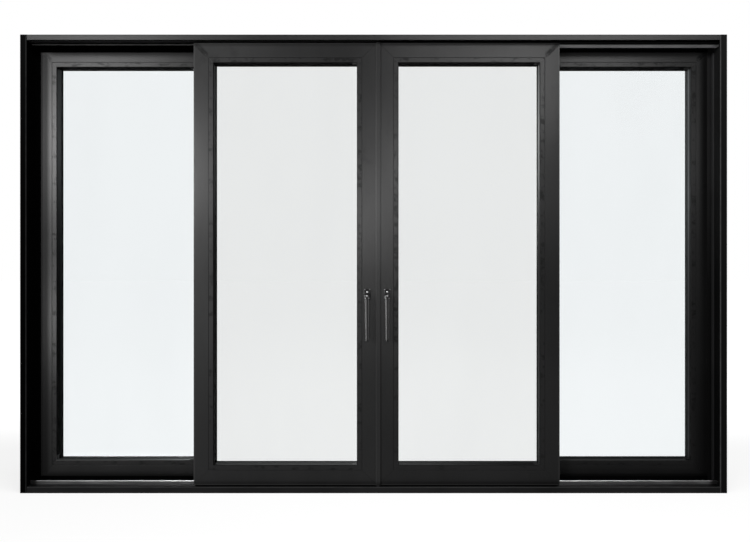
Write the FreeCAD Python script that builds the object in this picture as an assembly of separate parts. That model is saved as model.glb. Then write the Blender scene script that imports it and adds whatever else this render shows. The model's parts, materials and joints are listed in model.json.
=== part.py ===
import FreeCAD, Part
import math
import os

# Four-panel sliding patio door: two fixed outer panels in the rear track and
# two sliding leaves in the front track that meet near the middle.
# Millimetres. X runs along the width, Y from the room side to the outside,
# Z up. The origin is the middle of the sill's underside.

Vector = FreeCAD.Vector

# Outer frame
overall_width = 3700.0
overall_height = 2400.0
jamb_face_width = 36.0
head_face_height = 29.0
sill_nose_height = 32.0
front_lip_thickness = 6.0
rear_flange_thickness = 12.0
jamb_web_thickness = 12.0
head_web_thickness = 12.0
sill_floor_height = 21.5
sill_pocket_floor_height = 24.0
pocket_lip_thickness = 6.0
pocket_lip_clearance = 0.3
head_pocket_depth = 50.0
sill_pocket_height = 45.0
frame_edge_radius = 1.5
frame_wall = 2.5
jamb_chamber_depth = 50.0
sill_chamber_depth = 34.0

# Panels, fixed and sliding
panel_depth = 68.0
leaf_setback = 41.0
track_gap = 17.0
profile_width = 106.0
bead_width = 27.0
profile_wall = 3.0
rebate_flange_thickness = 3.5
profile_edge_radius = 1.2
mitre_gap = 0.2

# Sliding leaves
left_leaf_width = 971.5
right_leaf_width = 960.0
meeting_gap = 9.5
meeting_offset = 21.25
leaf_floor_clearance = 5.5
leaf_head_clearance = 16.0

# Fixed panels
fixed_head_clearance = 12.0
jamb_packing_gap = 5.0
interlock_overlap = 82.0

# Glazing
glass_setback = 38.0
pane_thickness = 4.0
cavity_width = 16.0
glass_edge_cover = 15.0
gasket_height = 3.0
gasket_width = 9.0
gasket_inset = 0.5
spacer_width = 8.0
spacer_edge_gap = 4.0
bead_wall = 2.2
bead_edge_radius = 3.0
bead_joint_radius = 1.0

# Running clearance between a leaf and what it passes
running_clearance = 5.5
seat_clearance = 0.3

# Track rail and rollers
rail_width = 8.0
rail_top_height = 40.0
rail_slot_depth = 4.0
track_centre_setback = 34.0
roller_groove_clearance = 0.3
roller_rail_radius = 18.0
roller_flange_radius = 21.0
roller_width = 14.0
roller_end_distance = 130.0
axle_radius = 4.0
rail_groove_width = 22.0
rail_groove_depth = 56.0

# Head guide channel, with the guide strip of the right leaf
guide_front_setback = 14.0
guide_rear_setback = 43.0
guide_leg_thickness = 3.0
guide_front_leg_height = 7.0
guide_rear_leg_height = 14.0
guide_base_thickness = 2.0
strip_stem_width = 10.0
strip_flange_height = 9.5
strip_drop = 28.0
guide_block_width = 12.0
guide_block_length = 60.0
guide_block_height = 9.0
guide_end_distance = 90.0

# Strip on the right jamb
jamb_strip_thickness = 6.0
jamb_strip_width = 21.0
jamb_strip_chamfer = 3.0

# Interlocks between a leaf and its fixed panel
interlock_fin_thickness = 3.0
interlock_fin_setback = 20.0
interlock_end_clearance = 7.0

# Cover strip over the meeting line, carried by the left leaf
astragal_foot_width = 5.0
astragal_width = 24.0
astragal_thickness = 4.0
astragal_stand_off = 5.0
astragal_edge_radius = 1.2
astragal_tab_width = 5.0
astragal_tab_height = 4.0

# Handles
handle_height = 1030.0
left_handle_backset = 50.5
right_handle_backset = 46.0
rose_width = 36.0
rose_top_reach = 37.0
rose_bottom_reach = 21.0
rose_thickness = 9.0
rose_corner_radius = 6.0
rose_edge_chamfer = 2.5
neck_radius = 10.0
neck_fit_clearance = 0.05
neck_insert_depth = 6.0
neck_bottom_gap = 0.5
lever_stand_off = 27.0
lever_thickness = 14.0
lever_hub_radius = 13.0
lever_root_width = 25.0
lever_tip_width = 21.0
lever_length = 235.0
lever_tip_radius = 6.0
lever_edge_chamfer = 5.5

# Depth stations
frame_depth = leaf_setback + 2 * panel_depth + track_gap + rear_flange_thickness
frame_front = -frame_depth / 2
frame_back = frame_depth / 2
leaf_face = frame_front + leaf_setback
leaf_back = leaf_face + panel_depth
fixed_face = leaf_back + track_gap
fixed_back = fixed_face + panel_depth
lip_back = frame_front + front_lip_thickness
pocket_lip_back = fixed_face - pocket_lip_clearance
pocket_lip_front = pocket_lip_back - pocket_lip_thickness
track_centre = leaf_face + track_centre_setback
unit_thickness = 2 * pane_thickness + cavity_width
spacer_depth = cavity_width

# Stations across the width and up the height
frame_side = overall_width / 2
lip_side = frame_side - jamb_face_width
web_side = frame_side - jamb_web_thickness
head_floor = overall_height - head_web_thickness
leaf_bottom = sill_floor_height + leaf_floor_clearance
leaf_top = head_floor - leaf_head_clearance
fixed_bottom = sill_pocket_floor_height
fixed_top = head_floor - fixed_head_clearance
fixed_side = web_side - jamb_packing_gap
left_meeting_edge = meeting_offset - meeting_gap / 2
right_meeting_edge = meeting_offset + meeting_gap / 2
left_leaf_rect = (left_meeting_edge - left_leaf_width, left_meeting_edge, leaf_bottom, leaf_top)
right_leaf_rect = (right_meeting_edge, right_meeting_edge + right_leaf_width, leaf_bottom, leaf_top)
left_fixed_rect = (-fixed_side, left_leaf_rect[0] + interlock_overlap, fixed_bottom, fixed_top)
right_fixed_rect = (right_leaf_rect[1] - interlock_overlap, fixed_side, fixed_bottom, fixed_top)

profile_body_width = profile_width - bead_width
pane_edge = profile_width - glass_edge_cover
SIDES = ("left", "right", "bottom", "top")


def wire_through(corners, place):
    """Closed wire through corners (u, v, radius); place gives the point of (u, v)."""
    count = len(corners)
    entries = []
    for index, (u, v, radius) in enumerate(corners):
        before = corners[index - 1]
        after = corners[(index + 1) % count]
        to_before = Vector(before[0] - u, before[1] - v, 0).normalize()
        to_after = Vector(after[0] - u, after[1] - v, 0).normalize()
        corner = Vector(u, v, 0)
        if radius <= 0:
            entries.append((corner, None, corner))
            continue
        half_angle = to_before.getAngle(to_after) / 2
        reach = radius / math.tan(half_angle)
        inward = (to_before + to_after).normalize()
        middle = corner + inward * (radius / math.sin(half_angle) - radius)
        entries.append((corner + to_before * reach, middle, corner + to_after * reach))
    edges = []
    for index, (start, middle, end) in enumerate(entries):
        if middle is not None:
            arc = Part.Arc(place(start.x, start.y), place(middle.x, middle.y), place(end.x, end.y))
            edges.append(arc.toShape())
        next_start = entries[(index + 1) % count][0]
        edges.append(Part.makeLine(place(end.x, end.y), place(next_start.x, next_start.y)))
    return Part.Wire(edges)


def sharp(points):
    """The same corners with no rounding."""
    return [(u, v, 0) for u, v in points]


def rectangle(u0, v0, u1, v1, radius=0.0):
    """Corners of a rectangle, all with one radius."""
    return [(u0, v0, radius), (u1, v0, radius), (u1, v1, radius), (u0, v1, radius)]


def prism(outline, holes, place, travel):
    """Solid of an outline with holes, pushed along a vector."""
    outer = Part.Face(wire_through(outline, place))
    for hole in holes:
        outer = outer.cut(Part.Face(wire_through(hole, place)))
    return outer.extrude(travel).Solids[0]


def box(x0, x1, y0, y1, z0, z1):
    """Box between two corners."""
    return Part.makeBox(x1 - x0, y1 - y0, z1 - z0, Vector(x0, y0, z0))


def save(name, shapes):
    """Write one node: a solid, or solids that do not touch."""
    solids = shapes if isinstance(shapes, list) else [shapes]
    shape = solids[0] if len(solids) == 1 else Part.makeCompound(solids)
    shape.exportStep("parts/" + name + ".step")


# Sticks of a rectangular panel

def side_axes(rect, side):
    """Start point, inward direction, run direction and length of one side of a panel."""
    x0, x1, z0, z1 = rect
    if side == "left":
        return Vector(x0, 0, z0), Vector(1, 0, 0), Vector(0, 0, 1), z1 - z0
    if side == "right":
        return Vector(x1, 0, z0), Vector(-1, 0, 0), Vector(0, 0, 1), z1 - z0
    if side == "bottom":
        return Vector(x0, 0, z0), Vector(0, 0, 1), Vector(1, 0, 0), x1 - x0
    return Vector(x0, 0, z1), Vector(0, 0, -1), Vector(1, 0, 0), x1 - x0


def mitre_block(rect, side, y_face, reach, depth):
    """Block that trims a stick to 45 degrees at both ends."""
    start, inward, run, length = side_axes(rect, side)
    trim = mitre_gap * math.sqrt(0.5)
    ends = [(0, trim), (0, length - trim), (reach, length - reach - trim), (reach, reach + trim)]

    def place(across, along):
        return start + inward * across + run * along + Vector(0, y_face, 0)

    return prism(sharp(ends), [], place, Vector(0, depth, 0))


def stick(rect, side, y_face, outline, holes=()):
    """One mitred stick: outline (u inward from the panel's edge, v back from its face)."""
    start, inward, run, length = side_axes(rect, side)

    def place(u, v):
        return start + inward * u + Vector(0, y_face + v, 0)

    bar = prism(outline, holes, place, run * length)
    reach = max(corner[0] for corner in outline) + 1.0
    depth = max(corner[1] for corner in outline) + 1.0
    return bar.common(mitre_block(rect, side, y_face, reach, depth)).Solids[0]


def ring(rect, y_face, outline, holes=()):
    """Four mitred sticks of one section round a panel."""
    return [stick(rect, side, y_face, outline, holes) for side in SIDES]


# Sections of the panels

def profile_outline():
    """Stile and rail: a closed box with a rebate flange behind the glass."""
    radius = profile_edge_radius
    flange_front = panel_depth - rebate_flange_thickness
    return [
        (0, 0, radius),
        (profile_body_width, 0, radius),
        (profile_body_width, flange_front, 0),
        (profile_width, flange_front, 0),
        (profile_width, panel_depth, radius),
        (0, panel_depth, radius),
    ]


def profile_chamber(first_u=0.0):
    """Hollow of a stile or rail, from first_u inwards."""
    return rectangle(
        first_u + profile_wall,
        profile_wall,
        profile_body_width - profile_wall,
        panel_depth - profile_wall,
    )


def bead_outline():
    """Glazing bead: a hollow strip flush with the face, rounded at the sight line."""
    bead_depth = glass_setback - gasket_height
    return [
        (profile_body_width, 0, bead_joint_radius),
        (profile_width, 0, bead_edge_radius),
        (profile_width, bead_depth, 0),
        (profile_body_width, bead_depth, 0),
    ]


def bead_chamber():
    """Hollow of the glazing bead."""
    bead_depth = glass_setback - gasket_height
    return rectangle(
        profile_body_width + bead_wall,
        bead_wall,
        profile_width - bead_wall,
        bead_depth - bead_wall,
    )


def gasket_outlines():
    """Front and rear glazing gaskets, each a flat strip against the glass."""
    inner = profile_width - gasket_inset
    outer = inner - gasket_width
    glass_back = glass_setback + unit_thickness
    flange_front = panel_depth - rebate_flange_thickness
    return [
        rectangle(outer, glass_setback - gasket_height, inner, glass_setback),
        rectangle(outer, glass_back, inner, flange_front),
    ]


def spacer_outline():
    """Spacer bar between the two panes."""
    outer = pane_edge + spacer_edge_gap
    front = glass_setback + pane_thickness
    return rectangle(outer, front, outer + spacer_width, front + spacer_depth)


def glazing(rect, y_face):
    """Beads, gaskets, spacer bars and panes of one panel."""
    x0, x1, z0, z1 = rect
    beads = ring(rect, y_face, bead_outline(), [bead_chamber()])
    gaskets = []
    for outline in gasket_outlines():
        gaskets.extend(ring(rect, y_face, outline))
    spacers = ring(rect, y_face, spacer_outline())
    panes = []
    for setback in (glass_setback, glass_setback + pane_thickness + cavity_width):
        front = y_face + setback
        panes.append(box(
            x0 + pane_edge, x1 - pane_edge,
            front, front + pane_thickness,
            z0 + pane_edge, z1 - pane_edge,
        ))
    return beads, gaskets, spacers, panes


# Outer frame

def chambers(start, end, low, high, longest):
    """Equal hollows from start to end, none longer than longest, with webs between them."""
    count = math.ceil((end - start + frame_wall) / (longest + frame_wall))
    length = (end - start - (count - 1) * frame_wall) / count
    hollows = []
    for index in range(count):
        first = start + index * (length + frame_wall)
        hollows.append(rectangle(first, low, first + length, high))
    return hollows


def jamb(side):
    """Side member over the full height: web, front lip, pocket lip and rear flange."""
    sign = -1 if side == "left" else 1
    radius = frame_edge_radius
    outline = [
        (0, frame_front, radius),
        (jamb_face_width, frame_front, radius),
        (jamb_face_width, lip_back, radius),
        (jamb_web_thickness, lip_back, 0),
        (jamb_web_thickness, pocket_lip_front, 0),
        (jamb_face_width, pocket_lip_front, radius),
        (jamb_face_width, pocket_lip_back, 0),
        (jamb_web_thickness, pocket_lip_back, 0),
        (jamb_web_thickness, fixed_back, 0),
        (jamb_face_width, fixed_back, 0),
        (jamb_face_width, frame_back, radius),
        (0, frame_back, radius),
    ]

    web_hollows = chambers(
        frame_front + frame_wall, fixed_back - frame_wall,
        frame_wall, jamb_web_thickness - frame_wall, jamb_chamber_depth,
    )
    flange_hollow = rectangle(
        frame_wall, fixed_back + frame_wall, jamb_face_width - frame_wall, frame_back - frame_wall,
    )
    holes = [[(across, y, 0) for y, across, corner in hollow] for hollow in web_hollows]

    def place(across, y):
        return Vector(sign * (frame_side - across), y, 0)

    return prism(outline, [*holes, flange_hollow], place, Vector(0, 0, overall_height))


def between_jambs(outline, holes):
    """Member that runs from web to web and is coped round the jambs' flanges."""

    def place(y, z):
        return Vector(-web_side, y, z)

    bar = prism(outline, holes, place, Vector(2 * web_side, 0, 0))
    for side in (-1, 1):
        for front, back in ((frame_front, lip_back), (pocket_lip_front, pocket_lip_back), (fixed_back, frame_back)):
            inner = side * lip_side
            outer = side * web_side
            bar = bar.cut(box(min(inner, outer), max(inner, outer), front, back, 0, overall_height))
    return bar.Solids[0]


def head():
    """Top member: front lip, roof, pocket lip and rear flange."""
    radius = frame_edge_radius
    lip_bottom = overall_height - head_face_height
    pocket_bottom = overall_height - head_pocket_depth
    outline = [
        (frame_front, overall_height, radius),
        (frame_front, lip_bottom, radius),
        (lip_back, lip_bottom, radius),
        (lip_back, head_floor, 0),
        (pocket_lip_front, head_floor, 0),
        (pocket_lip_front, pocket_bottom, radius),
        (pocket_lip_back, pocket_bottom, 0),
        (pocket_lip_back, head_floor, 0),
        (fixed_back, head_floor, 0),
        (fixed_back, pocket_bottom, 0),
        (frame_back, pocket_bottom, radius),
        (frame_back, overall_height, radius),
    ]
    roof_hollows = chambers(
        lip_back, fixed_back - frame_wall,
        head_floor + frame_wall, overall_height - frame_wall, jamb_chamber_depth,
    )
    flange_hollow = rectangle(
        fixed_back + frame_wall, pocket_bottom + frame_wall,
        frame_back - frame_wall, overall_height - frame_wall,
    )
    return between_jambs(outline, [*roof_hollows, flange_hollow])


def sill():
    """Bottom member: nose, track floor with a slot for the rail, pocket and rear flange."""
    radius = frame_edge_radius
    slot_front = track_centre - rail_width / 2
    slot_back = track_centre + rail_width / 2
    slot_floor = sill_floor_height - rail_slot_depth
    outline = [
        (frame_front, 0, 0),
        (frame_back, 0, 0),
        (frame_back, sill_pocket_height, radius),
        (fixed_back, sill_pocket_height, 0),
        (fixed_back, sill_pocket_floor_height, 0),
        (pocket_lip_back, sill_pocket_floor_height, 0),
        (pocket_lip_back, sill_pocket_height, 0),
        (pocket_lip_front, sill_pocket_height, radius),
        (pocket_lip_front, sill_floor_height, 0),
        (slot_back, sill_floor_height, 0),
        (slot_back, slot_floor, 0),
        (slot_front, slot_floor, 0),
        (slot_front, sill_floor_height, 0),
        (lip_back, sill_floor_height, 0),
        (lip_back, sill_nose_height, radius),
        (frame_front, sill_nose_height, radius),
    ]
    floor_hollows = [
        *chambers(lip_back, slot_front - frame_wall, frame_wall, sill_floor_height - frame_wall, sill_chamber_depth),
        *chambers(
            slot_back + frame_wall, fixed_back - frame_wall,
            frame_wall, sill_floor_height - frame_wall, sill_chamber_depth,
        ),
    ]
    flange_hollow = rectangle(
        fixed_back + frame_wall, frame_wall, frame_back - frame_wall, sill_pocket_height - frame_wall,
    )
    return between_jambs(outline, [*floor_hollows, flange_hollow])


def sill_rail():
    """Metal rail with a round top, seated in the sill's slot."""
    bottom = sill_floor_height - rail_slot_depth
    front = track_centre - rail_width / 2
    back = track_centre + rail_width / 2
    straight_top = rail_top_height - rail_width / 2
    crown = Part.Arc(
        Vector(-web_side, front, straight_top),
        Vector(-web_side, track_centre, rail_top_height),
        Vector(-web_side, back, straight_top),
    ).toShape()
    corners = [
        Vector(-web_side, back, straight_top),
        Vector(-web_side, back, bottom),
        Vector(-web_side, front, bottom),
        Vector(-web_side, front, straight_top),
    ]
    edges = [crown]
    for first, second in zip(corners, corners[1:]):
        edges.append(Part.makeLine(first, second))
    return Part.Face(Part.Wire(edges)).extrude(Vector(2 * web_side, 0, 0)).Solids[0]


def guide_channel():
    """Channel under the head: base plate with a short front leg and a longer rear leg."""
    front = leaf_face + guide_front_setback
    back = leaf_face + guide_rear_setback
    base_bottom = head_floor - guide_base_thickness
    outline = sharp([
        (front, head_floor),
        (front, head_floor - guide_front_leg_height),
        (front + guide_leg_thickness, head_floor - guide_front_leg_height),
        (front + guide_leg_thickness, base_bottom),
        (back - guide_leg_thickness, base_bottom),
        (back - guide_leg_thickness, head_floor - guide_rear_leg_height),
        (back, head_floor - guide_rear_leg_height),
        (back, head_floor),
    ])

    def place(y, z):
        return Vector(-web_side, y, z)

    return prism(outline, [], place, Vector(2 * web_side, 0, 0))


def guide_strip():
    """Guide of the right leaf: a stem in the channel with a wide foot below it."""
    front = leaf_face + guide_front_setback
    back = leaf_face + guide_rear_setback
    middle = (front + back) / 2
    stem_top = head_floor - guide_base_thickness
    foot_bottom = head_floor - strip_drop
    foot_top = foot_bottom + strip_flange_height
    radius = profile_edge_radius
    outline = [
        (middle - strip_stem_width / 2, stem_top, 0),
        (middle - strip_stem_width / 2, foot_top, 0),
        (front, foot_top, radius),
        (front, foot_bottom, radius),
        (back, foot_bottom, radius),
        (back, foot_top, radius),
        (middle + strip_stem_width / 2, foot_top, 0),
        (middle + strip_stem_width / 2, stem_top, 0),
    ]

    def place(y, z):
        return Vector(right_meeting_edge, y, z)

    return prism(outline, [], place, Vector(web_side - right_meeting_edge, 0, 0))


def jamb_strip():
    """Strip on the web of the right jamb, pointed at both ends."""
    back = pocket_lip_front
    front = back - jamb_strip_width
    bottom = sill_floor_height
    top = overall_height - head_pocket_depth
    middle = (front + back) / 2
    point = jamb_strip_width / 2
    outline = sharp([
        (front, bottom + point),
        (middle, bottom),
        (back, bottom + point),
        (back, top - point),
        (middle, top),
        (front, top - point),
    ])

    def place(y, z):
        return Vector(web_side, y, z)

    bar = prism(outline, [], place, Vector(-jamb_strip_thickness, 0, 0))
    front_edges = []
    for edge in bar.Edges:
        on_face = all(abs(v.X - (web_side - jamb_strip_thickness)) < seat_clearance for v in edge.Vertexes)
        if on_face:
            front_edges.append(edge)
    return bar.makeChamfer(jamb_strip_chamfer, front_edges)


# Panel members

def interlock_fin(x0, y0, y1):
    """Upright fin in the gap between a leaf and its fixed panel."""
    bottom = sill_pocket_height + interlock_end_clearance
    top = overall_height - head_pocket_depth - interlock_end_clearance
    return box(x0, x0 + interlock_fin_thickness, y0, y1, bottom, top)


def top_rail_outline():
    """Top rail of a leaf, with the groove that runs over the head guide."""
    radius = profile_edge_radius
    flange_front = panel_depth - rebate_flange_thickness
    groove_front = guide_front_setback - running_clearance
    groove_back = guide_rear_setback + running_clearance
    groove_depth = strip_drop - leaf_head_clearance + running_clearance
    return [
        (0, 0, radius),
        (profile_body_width, 0, radius),
        (profile_body_width, flange_front, 0),
        (profile_width, flange_front, 0),
        (profile_width, panel_depth, radius),
        (0, panel_depth, radius),
        (0, groove_back, 0),
        (groove_depth, groove_back, 0),
        (groove_depth, groove_front, 0),
        (0, groove_front, 0),
    ]


def top_rail_chamber():
    """Hollow of a leaf's top rail, below the groove."""
    groove_depth = strip_drop - leaf_head_clearance + running_clearance
    return profile_chamber(groove_depth)


def bottom_rail_outline():
    """Bottom rail of a leaf, with the groove for the track rail and the rollers."""
    radius = profile_edge_radius
    flange_front = panel_depth - rebate_flange_thickness
    groove_front = track_centre_setback - rail_groove_width / 2
    groove_back = track_centre_setback + rail_groove_width / 2
    return [
        (0, 0, radius),
        (profile_body_width, 0, radius),
        (profile_body_width, flange_front, 0),
        (profile_width, flange_front, 0),
        (profile_width, panel_depth, radius),
        (0, panel_depth, radius),
        (0, groove_back, 0),
        (rail_groove_depth, groove_back, 0),
        (rail_groove_depth, groove_front, 0),
        (0, groove_front, 0),
    ]


def bottom_rail_chamber():
    """Hollow of a leaf's bottom rail, above the groove."""
    return profile_chamber(rail_groove_depth)


def rail_notch(rect):
    """Slot along the bottom of a leaf, which its stiles need where they meet the rail."""
    x0, x1, z0, z1 = rect
    front = track_centre - rail_groove_width / 2
    back = track_centre + rail_groove_width / 2
    return box(x0, x1, front, back, z0, rail_top_height + running_clearance)


def guide_notch(rect):
    """Slot along the top of a leaf, which its stiles need where they meet the rail."""
    x0, x1, z0, z1 = rect
    front = leaf_face + guide_front_setback - running_clearance
    back = leaf_face + guide_rear_setback + running_clearance
    depth = strip_drop - leaf_head_clearance + running_clearance
    return box(x0, x1, front, back, z1 - depth, z1)


def rollers(rect):
    """Two grooved wheels with their axles, on the track rail."""
    x0, x1, z0, z1 = rect
    centre_height = rail_top_height + roller_groove_clearance + roller_rail_radius
    groove_radius = rail_width / 2 + roller_groove_clearance
    tread_radius = roller_rail_radius
    flange_top = roller_flange_radius
    wheels = []
    for x in (x0 + roller_end_distance, x1 - roller_end_distance):
        wheel = Part.makeCylinder(
            flange_top, roller_width,
            Vector(x, track_centre - roller_width / 2, centre_height), Vector(0, 1, 0),
        )
        groove = Part.makeTorus(
            tread_radius + groove_radius, groove_radius,
            Vector(x, track_centre, centre_height), Vector(0, 1, 0),
        )
        axle = Part.makeCylinder(
            axle_radius, rail_groove_width,
            Vector(x, track_centre - rail_groove_width / 2, centre_height), Vector(0, 1, 0),
        )
        wheels.append(wheel.cut(groove).fuse(axle).Solids[0])
    return wheels


def guide_blocks(rect):
    """Two sliding blocks on top of the left leaf, between the legs of the channel."""
    x0, x1, z0, z1 = rect
    front = leaf_face + guide_front_setback
    back = leaf_face + guide_rear_setback
    middle = (front + back) / 2
    groove_depth = strip_drop - leaf_head_clearance + running_clearance
    blocks = []
    for x in (x0 + guide_end_distance, x1 - guide_end_distance):
        blocks.append(box(
            x - guide_block_length / 2, x + guide_block_length / 2,
            middle - guide_block_width / 2, middle + guide_block_width / 2,
            z1 - groove_depth, z1 + guide_block_height,
        ))
    return blocks


def save_panel_frame(name, rect, y_face, side_names, fins):
    """Stiles and rails of a fixed panel."""
    for side in SIDES:
        bar = stick(rect, side, y_face, profile_outline(), [profile_chamber()])
        for fin in fins.get(side, []):
            bar = bar.fuse(fin)
        save(name + "_" + side_names[side], bar.removeSplitter().Solids[0])


def save_leaf_frame(name, rect, side_names, fins):
    """Stiles and rails of a sliding leaf, slotted over the track rail and the head guide."""
    sections = {
        "left": (profile_outline(), profile_chamber()),
        "right": (profile_outline(), profile_chamber()),
        "bottom": (bottom_rail_outline(), bottom_rail_chamber()),
        "top": (top_rail_outline(), top_rail_chamber()),
    }
    for side in SIDES:
        outline, chamber = sections[side]
        bar = stick(rect, side, leaf_face, outline, [chamber])
        if side in ("left", "right"):
            bar = bar.cut(rail_notch(rect)).cut(guide_notch(rect))
        for fin in fins.get(side, []):
            bar = bar.fuse(fin)
        save(name + "_" + side_names[side], bar.removeSplitter().Solids[0])


def astragal():
    """Cover strip over the meeting line: a foot on the left leaf and a wide front."""
    back = leaf_face - astragal_stand_off
    front = back - astragal_thickness
    foot_start = left_meeting_edge - astragal_foot_width
    radius = astragal_edge_radius
    outline = [
        (foot_start, leaf_face, 0),
        (foot_start, front, radius),
        (foot_start + astragal_width, front, radius),
        (foot_start + astragal_width, back, radius),
        (left_meeting_edge, back, 0),
        (left_meeting_edge, leaf_face, 0),
    ]

    def place(x, y):
        return Vector(x, y, leaf_bottom)

    strip = prism(outline, [], place, Vector(0, 0, leaf_top + astragal_tab_height - leaf_bottom))
    tab_start = foot_start + astragal_width - astragal_tab_width
    coped = box(foot_start, tab_start, front, leaf_face, leaf_top, leaf_top + astragal_tab_height)
    return strip.cut(coped).Solids[0]


# Handles

def rose(pivot_x):
    """Back plate with a bore for the lever's neck."""
    front = leaf_face - rose_thickness
    outline = rectangle(
        pivot_x - rose_width / 2,
        handle_height - rose_bottom_reach,
        pivot_x + rose_width / 2,
        handle_height + rose_top_reach,
        rose_corner_radius,
    )

    def place(x, z):
        return Vector(x, front, z)

    plate = prism(outline, [], place, Vector(0, rose_thickness, 0))
    front_edges = []
    for edge in plate.Edges:
        if all(abs(v.Y - front) < seat_clearance for v in edge.Vertexes):
            front_edges.append(edge)
    plate = plate.makeChamfer(rose_edge_chamfer, front_edges)
    bore = Part.makeCylinder(
        neck_radius, neck_insert_depth + neck_bottom_gap,
        Vector(pivot_x, front, handle_height), Vector(0, 1, 0),
    )
    return plate.cut(bore)


def lever(pivot_x):
    """Long grip that hangs from its hub, with bevelled front edges."""
    rose_front = leaf_face - rose_thickness
    grip_back = rose_front - lever_stand_off
    grip_front = grip_back - lever_thickness
    tip = handle_height - lever_length
    shoulder = handle_height - lever_hub_radius
    outline = [
        (pivot_x - lever_root_width / 2, handle_height, 0),
        (pivot_x - lever_root_width / 2, shoulder, 0),
        (pivot_x - lever_tip_width / 2, tip, lever_tip_radius),
        (pivot_x + lever_tip_width / 2, tip, lever_tip_radius),
        (pivot_x + lever_root_width / 2, shoulder, 0),
        (pivot_x + lever_root_width / 2, handle_height, 0),
    ]

    def place(x, z):
        return Vector(x, grip_front, z)

    grip = prism(outline, [], place, Vector(0, lever_thickness, 0))
    hub = Part.makeCylinder(
        lever_hub_radius, lever_thickness,
        Vector(pivot_x, grip_front, handle_height), Vector(0, 1, 0),
    )
    grip = grip.fuse(hub).removeSplitter()
    front_edges = []
    for edge in grip.Edges:
        if all(abs(v.Y - grip_front) < seat_clearance for v in edge.Vertexes):
            front_edges.append(edge)
    grip = grip.makeChamfer(lever_edge_chamfer, front_edges)
    neck = Part.makeCylinder(
        neck_radius - neck_fit_clearance, lever_stand_off + neck_insert_depth,
        Vector(pivot_x, grip_back, handle_height), Vector(0, 1, 0),
    )
    return grip.fuse(neck).Solids[0]


# All nodes

def save_frame():
    """Outer frame with its rail, guides and strips."""
    save("left_jamb", jamb("left"))
    save("right_jamb", jamb("right"))
    save("head", head())
    save("sill", sill())
    save("sill_rail", sill_rail())
    save("head_guide_channel", guide_channel())
    save("head_guide_strip", guide_strip())
    save("jamb_strip", jamb_strip())


def save_fixed_panels():
    """Two outer panels, seated in the pocket of the frame."""
    fin_front = leaf_back + running_clearance
    fin_reach = interlock_fin_setback + interlock_fin_thickness + running_clearance
    left_fin = interlock_fin(left_leaf_rect[0] + fin_reach, fin_front, fixed_face)
    right_fin_start = right_leaf_rect[1] - fin_reach - interlock_fin_thickness
    right_fin = interlock_fin(right_fin_start, fin_front, fixed_face)
    left_names = {"left": "outer_stile", "right": "interlock_stile"}
    right_names = {"left": "interlock_stile", "right": "outer_stile"}
    rails = {"bottom": "bottom_rail", "top": "top_rail"}
    save_panel_frame("left_fixed", left_fixed_rect, fixed_face, {**left_names, **rails}, {"right": [left_fin]})
    save_panel_frame("right_fixed", right_fixed_rect, fixed_face, {**right_names, **rails}, {"left": [right_fin]})
    all_gaskets = []
    all_spacers = []
    for name, rect in (("left_fixed", left_fixed_rect), ("right_fixed", right_fixed_rect)):
        beads, gaskets, spacers, panes = glazing(rect, fixed_face)
        save(name + "_beads", beads)
        save(name + "_glass", panes)
        all_gaskets.extend(gaskets)
        all_spacers.extend(spacers)
    save("fixed_gaskets", all_gaskets)
    save("fixed_spacers", all_spacers)


def save_leaves():
    """Two sliding leaves with their rollers, glazing and handles."""
    fin_back = fixed_face - running_clearance
    left_fin = interlock_fin(left_leaf_rect[0] + interlock_fin_setback, leaf_back, fin_back)
    right_fin_start = right_leaf_rect[1] - interlock_fin_setback - interlock_fin_thickness
    right_fin = interlock_fin(right_fin_start, leaf_back, fin_back)
    rails = {"bottom": "bottom_rail", "top": "top_rail"}
    left_names = {"left": "outer_stile", "right": "meeting_stile"}
    right_names = {"left": "meeting_stile", "right": "outer_stile"}
    save_leaf_frame("left_leaf", left_leaf_rect, {**left_names, **rails}, {"left": [left_fin]})
    save_leaf_frame("right_leaf", right_leaf_rect, {**right_names, **rails}, {"right": [right_fin]})
    for name, rect in (("left_leaf", left_leaf_rect), ("right_leaf", right_leaf_rect)):
        beads, gaskets, spacers, panes = glazing(rect, leaf_face)
        save(name + "_beads", beads)
        save(name + "_gaskets", gaskets)
        save(name + "_spacers", spacers)
        save(name + "_glass", panes)
        save(name + "_rollers", rollers(rect))
    save("left_leaf_guide_blocks", guide_blocks(left_leaf_rect))
    save("astragal", astragal())
    left_pivot = left_meeting_edge - left_handle_backset
    right_pivot = right_meeting_edge + right_handle_backset
    save("left_handle_rose", rose(left_pivot))
    save("right_handle_rose", rose(right_pivot))
    save("left_lever", lever(left_pivot))
    save("right_lever", lever(right_pivot))


os.makedirs("parts", exist_ok=True)
save_frame()
save_fixed_panels()
save_leaves()
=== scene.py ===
"""Looks of a four-panel sliding patio door: finishes, small hardware, studio and camera."""

import json
import logging
import math
from dataclasses import dataclass, field, replace
from enum import Enum
from typing import Any, Iterable, Optional, Union

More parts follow.
